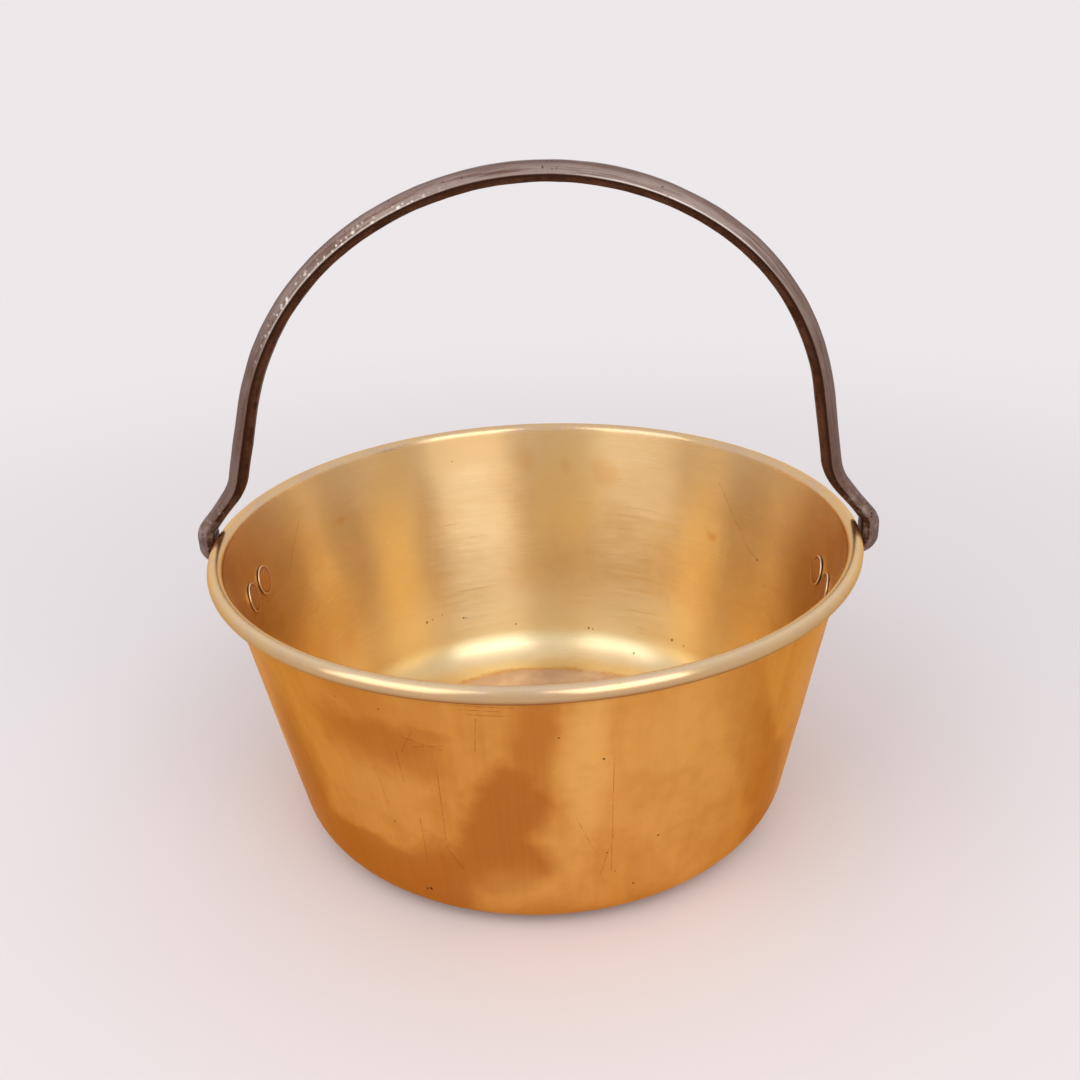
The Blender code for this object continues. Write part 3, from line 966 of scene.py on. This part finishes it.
def makeBrass():
    material, tree, shader = newMaterial(
        "aged_brass",
        1.0,
        0.3,
        Anisotropic=brassFinish["anisotropy"],
        Anisotropic_Rotation=brassFinish["anisotropyTurn"],
    )
    tones = brassTones
    shader.inputs["Specular Tint"].default_value = (*tones["edgeGlow"], 1.0)
    place = addNode(tree, "ShaderNodeTexCoord").outputs["Object"]
    axes = addNode(tree, "ShaderNodeSeparateXYZ", {0: place}).outputs
    flat = vectorCalc(tree, "MULTIPLY", place, (1.0, 1.0, 0.0))
    radius = vectorCalc(tree, "LENGTH", flat, output="Value")
    around = vectorCalc(tree, "NORMALIZE", flat)
    inside = attribute(tree, "inside")
    bead = attribute(tree, "rim")
    rim = calc(tree, "GREATER_THAN", bead, 0.4)
    outer = calc(tree, "LESS_THAN", inside, 0.25)
    inner = calc(tree, "GREATER_THAN", inside, 0.75)
    runVector = joinAxes(tree, Z=attribute(tree, "run"))
    level = times(tree, axes["Z"], 1000.0)
    outerWall, innerWall = unrollWall(tree, axes, level)

    # Noise stretched along the wall: how fine it is round the pan and along the profile
    def stretched(turns, lines, detail=4.0, roughness=0.6):
        first = vectorCalc(tree, "MULTIPLY", around, (turns, turns, 0.0))
        second = vectorCalc(tree, "MULTIPLY", runVector, (0.0, 0.0, lines))
        return noiseValue(tree, vectorCalc(tree, "ADD", first, second), 1.0, detail, roughness)

    # Fine lines: round the pan inside, up and down the wall outside
    spun = stretched(4.0, 1400.0)
    rubbed = stretched(230.0, 22.0, 4.0, 0.65)
    grain = mixValue(tree, inside, rubbed, spun)
    warp = calc(tree, "SUBTRACT", noiseValue(tree, place, 45.0, 5.0, 0.6), 0.5)
    sockets = {"Vector": place, "Scale": 16.0, "Detail": 3.0}
    sway = addNode(tree, "ShaderNodeTexNoise", sockets).outputs["Color"]
    sway = vectorCalc(tree, "SUBTRACT", sway, (0.5, 0.5, 0.5))
    sway = vectorCalc(tree, "MULTIPLY", sway, brassFinish["patchSway"])
    outerBlurred = vectorCalc(tree, "ADD", outerWall, sway)
    innerBlurred = vectorCalc(tree, "ADD", innerWall, sway)
    clouds = useGroup(tree, mottleGroup, Place=place, Scale=11.0, Low=0.38, High=0.62)

    # Inner face: warm gold, dulled in clouds and brushed rings, with painted shade in patches and
    # darker towards the rim, painted gold and pale reflections of the lamps in bands, and painted
    # light on the lower wall
    innerColour = mixColour(tree, times(tree, clouds, 0.4), tones["inside"], tones["insideDeep"])
    smoky = useGroup(tree, mottleGroup, Place=place, Scale=34.0, Low=0.42, High=0.66)
    brushed = remap(tree, stretched(9.0, 760.0, 4.0, 0.65), 0.42, 0.66, 0.0, 0.17)
    dulled = calc(tree, "MAXIMUM", times(tree, smoky, 0.20), brushed)
    innerColour = mixColour(tree, dulled, innerColour, tones["insideDullAndShade"])
    # Painted shade, painted gold and pale reflections, then tarnish marks
    for table, tone in (
        (innerShades, "insideDullAndShade"),
        (innerGoldReflections, "insideGoldReflection"),
        (innerReflectionAndPolishPatches, "insidePaleReflectionAndPolish"),
        (innerMarkPatches, "tarnish"),
    ):
        mask = patchMask(tree, table, innerBlurred, warp)
        innerColour = mixColour(tree, mask, innerColour, tones[tone])
    strokes = strokeMask(tree, polishStrokes, innerWall, warp)
    innerColour = mixColour(tree, strokes, innerColour, tones["polishAndHighlight"])
    # Painted shade, darker towards the rim
    topShade = remap(tree, level, 88.0, 136.0, 0.0, 0.40)
    innerColour = mixColour(tree, topShade, innerColour, tones["insideDullAndShade"])
    # Painted light: the lower wall paler, fading out again towards the floor
    lowPaintedLight = times(tree, remap(tree, level, 64.0, 14.0, 0.0, 0.72), remap(tree, level, 4.0, 15.0))
    innerColour = mixColour(tree, lowPaintedLight, innerColour, tones["insideLowLight"])

    # Floor: stained, with a tarnished tide line round it
    floorEdge = calc(tree, "ADD", radius, times(tree, warp, 0.010))
    floor = times(tree, remap(tree, floorEdge, 0.1062, 0.1015), inner)
    stained = useGroup(tree, mottleGroup, Place=place, Scale=26.0, Low=0.36, High=0.60)
    floorColour = mixColour(tree, stained, tones["floor"], tones["stain"])
    innerColour = mixColour(tree, floor, innerColour, floorColour)
    tide = useGroup(tree, mottleGroup, Place=place, Scale=60.0, Low=0.42, High=0.56)
    tideLine = band(tree, floorEdge, 0.0998, 0.1034, 0.1040, 0.1075)
    innerColour = mixColour(tree, times(tree, tideLine, tide, 0.7), innerColour, tones["tarnish"])

    # Outer face: orange gold, darker in patches that are partly tarnish and partly painted
    # reflection of darker surroundings, in fine streaks and in clouds towards the back; paler in
    # painted reflections; painted shade under the bead and along the foot
    outerDarkPatches = patchMask(tree, outerPatches, outerBlurred, warp)
    streaks = remap(tree, stretched(11.0, 5.0), 0.35, 0.65, 0.0, 0.22)
    fineStreaks = remap(tree, stretched(70.0, 9.0, 3.0), 0.4, 0.7, 0.0, 0.06)
    deep = calc(tree, "ADD", calc(tree, "MAXIMUM", outerDarkPatches, streaks), fineStreaks)
    outerColour = mixColour(tree, deep, tones["outside"], tones["outsideDeep"])
    # Painted reflections: paler patches
    pale = patchMask(tree, outerReflectionPatches, outerBlurred, warp)
    outerColour = mixColour(tree, pale, outerColour, tones["outsidePaleReflection"])
    behindShare = times(tree, remap(tree, axes["Y"], -0.06, 0.03), 0.6)
    darkened = times(tree, clouds, behindShare)
    outerColour = mixColour(tree, darkened, outerColour, tones["outsideDeep"])
    smoke = useGroup(tree, mottleGroup, Place=place, Scale=40.0, Low=0.40, High=0.66)
    outerColour = mixColour(tree, times(tree, smoke, 0.22), outerColour, tones["outsideDeep"])
    # Painted shade: dark under the bead and along the foot
    underBeadShade = remap(tree, level, 134.0, 140.0)
    edges = calc(tree, "MAXIMUM", underBeadShade, remap(tree, level, 8.0, 2.0, 0.0, 0.8))
    outerColour = mixColour(tree, times(tree, edges, 0.8), outerColour, tones["creaseShade"])

    # Bead: pale and worn on top, with a painted highlight along the crest, painted shade on its
    # outer side and painted shade underneath
    rimColour = mixColour(tree, times(tree, smoke, 0.6), tones["rim"], tones["rimWorn"])
    # Painted highlight along the crest
    crestHighlight = band(tree, bead, 0.60, 0.64, 0.66, 0.70)
    rimColour = mixColour(tree, times(tree, crestHighlight, 0.3), rimColour, tones["polishAndHighlight"])
    # Painted shade on the bead's outer side
    shoulder = remap(tree, bead, 0.68, 0.76)
    rimColour = mixColour(tree, times(tree, shoulder, 0.55), rimColour, tones["rimShade"])
    # Painted shade on the bead's underside
    beadUnderShade = remap(tree, bead, 0.76, 0.86)
    rimColour = mixColour(tree, times(tree, beadUnderShade, 0.85), rimColour, tones["creaseShade"])

    # Faces joined, then scratches, specks and fine pits
    colour = mixColour(tree, outer, innerColour, outerColour)
    colour = mixColour(tree, rim, colour, rimColour)
    outerLines = times(tree, scratchMask(tree, outerScratches, outerWall), outer)
    innerLines = times(tree, scratchMask(tree, innerScratches, innerWall), inner)
    broken = remap(tree, noiseValue(tree, place, 420.0, 2.0, 0.5), 0.35, 0.6, 0.25, 1.0)
    lines = calc(tree, "ADD", outerLines, times(tree, innerLines, 0.4))
    colour = mixColour(tree, times(tree, lines, broken), colour, tones["scratch"])
    outerSpots = times(tree, speckMask(tree, outerSpecks, outerWall), outer)
    innerSpots = times(tree, speckMask(tree, innerSpecks, innerWall), inner)
    finePits = useGroup(tree, pitGroup, Place=place, Scale=420.0, Cover=0.05, Size=0.22)
    spots = calc(tree, "ADD", outerSpots, innerSpots)
    spots = calc(tree, "MAXIMUM", spots, times(tree, finePits, 0.5))
    colour = mixColour(tree, spots, colour, tones["pit"])
    tree.links.new(colour, shader.inputs["Base Color"])

    rough = remap(tree, grain, 0.25, 0.75, *brassFinish["grainRoughness"])
    rough = mixValue(tree, rim, rough, brassFinish["rimRoughness"])
    rough = mixValue(tree, floor, rough, brassFinish["floorRoughness"])
    rough = calc(tree, "ADD", rough, times(tree, spots, brassFinish["spotRoughness"]))
    tree.links.new(rough, shader.inputs["Roughness"])
    height = calc(tree, "SUBTRACT", times(tree, grain, brassFinish["grainHeight"]), finePits)
    addBump(tree, shader, height, brassFinish["bumpStrength"], brassFinish["bumpDistance"])
    tangent = addNode(tree, "ShaderNodeTangent", direction_type="RADIAL", axis="Z")
    tree.links.new(tangent.outputs[0], shader.inputs["Tangent"])
    return material


# Iron: dark brown forge scale, rubbed to grey on the outer side of the bar, there also lighter as
# painted light, with painted shade on the lower face and at the far upper edge. The bar's
# "outer" runs from -1 on its lower face to 1 on its upper face

ironFinish = {
    "streakAlong": 28.0,
    "streakAcross": 620.0,
    "streakUp": 3.0,
    "streakRoughness": (0.34, 0.52),
    "mottleRoughness": 0.10,
    "pitDepth": 1.5,
    "bumpStrength": 0.45,
    "bumpDistance": 0.00025,
}

ironTones = {
    "scale": (0.180, 0.104, 0.080),
    "brown": (0.130, 0.066, 0.045),
    # Painted shade: the lower face
    "under": (0.045, 0.015, 0.006),
    "underPale": (0.150, 0.070, 0.045),
    # Rubbed grey, on the upper face also painted light
    "worn": (0.35, 0.275, 0.238),
    # Painted shade at the far upper edge
    "edge": (0.20, 0.135, 0.120),
    # Worn bare metal, and the painted highlight along the ridge
    "bright": (0.80, 0.74, 0.68),
    "pit": (0.025, 0.014, 0.010),
}


def makeIron(name, wornShare, pitCover):
    material, tree, shader = newMaterial(name, 0.85, 0.45)
    tones = ironTones
    place = addNode(tree, "ShaderNodeTexCoord").outputs["Object"]
    axes = addNode(tree, "ShaderNodeSeparateXYZ", {0: place}).outputs
    side = axes["X"]
    height = axes["Z"]
    outer = attribute(tree, "outer")
    mottle = useGroup(tree, mottleGroup, Place=place, Scale=70.0, Low=0.38, High=0.62)
    colour = mixColour(tree, mottle, tones["scale"], tones["brown"])

    # Lower face: nearly black as painted shade, with paler brown patches
    under = remap(tree, outer, -0.12, -0.24)
    deepUnder = times(tree, remap(tree, outer, -0.30, -0.62), mottle)
    underTone = mixColour(tree, deepUnder, tones["under"], tones["underPale"])
    colour = mixColour(tree, times(tree, under, 0.88), colour, underTone)

    # Rubbed streaks run along the bar, fewer on the legs; the grey upper face is also lighter as
    # painted light
    along = joinAxes(
        tree,
        X=times(tree, attribute(tree, "run"), ironFinish["streakAlong"]),
        Y=times(tree, axes["Y"], ironFinish["streakAcross"]),
        Z=times(tree, outer, ironFinish["streakUp"]),
    )
    streaks = noiseValue(tree, along, 1.0, 4.0, 0.6)
    streaked = remap(tree, streaks, 0.36, 0.60, 0.12, 1.0)
    rubbed = times(tree, remap(tree, outer, -0.22, -0.05), streaked)
    rubbed = times(tree, rubbed, remap(tree, height, 0.19, 0.29, 0.22, 1.0))
    colour = mixColour(tree, times(tree, rubbed, wornShare), colour, tones["worn"])
    # Painted shade towards the far upper edge
    farEdgeShade = times(tree, remap(tree, outer, 0.35, 0.9), 0.7)
    colour = mixColour(tree, farEdgeShade, colour, tones["edge"])
    ground = useGroup(tree, mottleGroup, Place=place, Scale=150.0, Low=0.46, High=0.62)
    lowGround = times(tree, ground, remap(tree, height, 0.172, 0.155), 0.5)
    colour = mixColour(tree, times(tree, lowGround, wornShare), colour, tones["worn"])

    # Bright flecks on the left shoulder and the knuckles, worn bare, on the shoulder also a painted
    # highlight; a bright ridge on the right shoulder, a worn edge with a painted highlight along it
    flecks = useGroup(tree, pitGroup, Place=place, Scale=420.0, Cover=0.6, Size=0.62)
    leftShoulder = band(tree, side, -0.135, -0.11, -0.06, -0.025)
    lowFacet = band(tree, outer, -0.24, -0.10, 0.1, 0.65)
    knuckles = times(tree, remap(tree, height, 0.170, 0.158), 0.16)
    bright = calc(tree, "MAXIMUM", times(tree, leftShoulder, lowFacet), knuckles)
    bright = times(tree, flecks, bright, wornShare)
    colour = mixColour(tree, bright, colour, tones["bright"])
    ridgeWearAndGlint = band(tree, outer, -0.26, -0.16, -0.12, -0.02)
    rightShoulder = band(tree, side, 0.015, 0.045, 0.09, 0.125)
    spans = calc(tree, "MAXIMUM", rightShoulder, times(tree, leftShoulder, 0.7))
    ridgeWearAndGlint = times(tree, ridgeWearAndGlint, spans, wornShare * 0.75)
    colour = mixColour(tree, ridgeWearAndGlint, colour, tones["bright"])
    cover = remap(tree, height, 0.172, 0.158, pitCover, pitCover + 0.25)
    pits = useGroup(tree, pitGroup, Place=place, Scale=480.0, Cover=cover, Size=0.5)
    colour = mixColour(tree, times(tree, pits, 0.8), colour, tones["pit"])
    tree.links.new(colour, shader.inputs["Base Color"])

    rough = remap(tree, streaks, 0.3, 0.7, *ironFinish["streakRoughness"])
    rough = calc(tree, "ADD", rough, times(tree, mottle, ironFinish["mottleRoughness"]))
    tree.links.new(rough, shader.inputs["Roughness"])
    fine = noiseValue(tree, place, 520.0, 4.0, 0.6)
    deepPits = times(tree, pits, ironFinish["pitDepth"])
    relief = calc(tree, "SUBTRACT", calc(tree, "ADD", fine, streaks), deepPits)
    addBump(tree, shader, relief, ironFinish["bumpStrength"], ironFinish["bumpDistance"])
    return material


# Copper of the rivets, polished down nearly to the wall's gold, with a bright hammered ring and a
# painted shadow groove inside it

copperFinish = {"roughness": (0.28, 0.42), "bumpStrength": 0.3, "bumpDistance": 0.0002}

copperTones = {
    "face": (0.80, 0.50, 0.26),
    "faceDeep": (0.68, 0.38, 0.18),
    "ring": (0.93, 0.74, 0.58),
    # Painted shadow groove
    "grooveShadow": (0.34, 0.17, 0.09),
}


def makeCopper():
    material, tree, shader = newMaterial("hammered_copper", 1.0, 0.35)
    tones = copperTones
    place = addNode(tree, "ShaderNodeTexCoord").outputs["Object"]
    ring = attribute(tree, "ring")
    mottle = useGroup(tree, mottleGroup, Place=place, Scale=160.0, Low=0.35, High=0.65)
    colour = mixColour(tree, mottle, tones["face"], tones["faceDeep"])
    # Painted shadow: a dark groove ring inside the lip
    grooveShadow = band(tree, ring, 0.74, 0.80, 0.84, 0.90)
    colour = mixColour(tree, times(tree, grooveShadow, 0.6), colour, tones["grooveShadow"])
    lip = remap(tree, ring, 0.90, 0.96)
    colour = mixColour(tree, lip, colour, tones["ring"])
    tree.links.new(colour, shader.inputs["Base Color"])
    rough = remap(tree, mottle, 0.0, 1.0, *copperFinish["roughness"])
    tree.links.new(rough, shader.inputs["Roughness"])
    height = calc(tree, "SUBTRACT", calc(tree, "ADD", lip, mottle), grooveShadow)
    addBump(tree, shader, height, copperFinish["bumpStrength"], copperFinish["bumpDistance"])
    return material


brass = makeBrass()
bailIron = makeIron("forged_bail_iron", 0.9, 0.10)
earIron = makeIron("ear_iron", 0.0, 0.25)
copper = makeCopper()
print("finishes made")

makePan(brass)
print("pan turned")
makeBail(bailIron)
print("bail forged")
for node in ("ear_left", "ear_right"):
    makeEar(node, earIron)
for side in (1, -1):
    for row in (-1, 1):
        makeRivet(side, row, copper)
print("ears and rivets made")
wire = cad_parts["rim_wire"]
wire.data.materials.clear()
wire.data.materials.append(earIron)

# Stage: pale floor that runs into a pale backdrop, soft lamps, pale surroundings

stage = {
    "floor": (0.84, 0.80, 0.815),
    "backdrop": (0.847, 0.807, 0.823),
    "surround": (0.92, 0.90, 0.91),
    "fill": 0.80,
    "floorRadius": 60.0,
    "lampAim": (0.0, 0.0, 0.1),
    "plainFrom": 0.28,
    "plainTo": 1.0,
}

lamps = {
    "left softbox": {"place": (-0.95, -0.89, 1.05), "size": (1.10, 1.4), "level": 1.35},
    "right softbox": {"place": (0.69, -1.10, 1.05), "size": (0.97, 1.4), "level": 1.75},
}


# Camera, glossy and transmission rays see the plain backdrop tone
def seenDirectly(tree):
    path = addNode(tree, "ShaderNodeLightPath").outputs
    seen = calc(tree, "ADD", path["Is Camera Ray"], path["Is Glossy Ray"])
    return calc(tree, "ADD", seen, path["Is Transmission Ray"], clamp=True)


# Puts the backdrop tone over a shader by a share
def showBackdrop(tree, share, shader, kind, output):
    plain = addNode(tree, kind, {"Color": (*stage["backdrop"], 1.0), "Strength": 1.0})
    mix = addNode(tree, "ShaderNodeMixShader", {0: share})
    tree.links.new(shader.outputs[0], mix.inputs[1])
    tree.links.new(plain.outputs[0], mix.inputs[2])
    tree.links.new(mix.outputs[0], tree.nodes[output].inputs[0])


def makeFloorMaterial():
    material, tree, shader = newMaterial("pale_floor", 0.0, 0.8)
    shader.inputs["Base Color"].default_value = (*stage["floor"], 1.0)
    shader.inputs["Specular IOR Level"].default_value = 0.0
    place = addNode(tree, "ShaderNodeTexCoord").outputs["Object"]
    reach = vectorCalc(tree, "LENGTH", place, output="Value")
    away = remap(tree, reach, stage["plainFrom"], stage["plainTo"])
    plain = calc(tree, "MULTIPLY", away, seenDirectly(tree))
    showBackdrop(tree, plain, shader, "ShaderNodeEmission", "Material Output")
    return material


def makeStage():
    shape = bmesh.new()
    bmesh.ops.create_circle(shape, cap_ends=True, segments=96, radius=stage["floorRadius"])
    mesh = bpy.data.meshes.new("floor")
    shape.to_mesh(mesh)
    shape.free()
    mesh.materials.append(makeFloorMaterial())
    floor = bpy.data.objects.new("floor", mesh)
    scene.collection.objects.link(floor)

    for name, lamp in lamps.items():
        data = bpy.data.lights.new(name, "AREA")
        data.shape = "RECTANGLE"
        data.size, data.size_y = lamp["size"]
        data.energy = lamp["level"] * math.pi * data.size * data.size_y
        item = bpy.data.objects.new(name, data)
        scene.collection.objects.link(item)
        item.location = lamp["place"]
        toLamp = Vector(lamp["place"]) - Vector(stage["lampAim"])
        item.rotation_euler = toLamp.to_track_quat("Z", "Y").to_euler()

    world = bpy.data.worlds.new("studio")
    scene.world = world
    world.use_nodes = True
    tree = world.node_tree
    fill = tree.nodes["Background"]
    fill.inputs["Color"].default_value = (*stage["surround"], 1.0)
    fill.inputs["Strength"].default_value = stage["fill"]
    showBackdrop(tree, seenDirectly(tree), fill, "ShaderNodeBackground", "World Output")


makeStage()
scene.view_settings.view_transform = "Standard"
print("stage set")
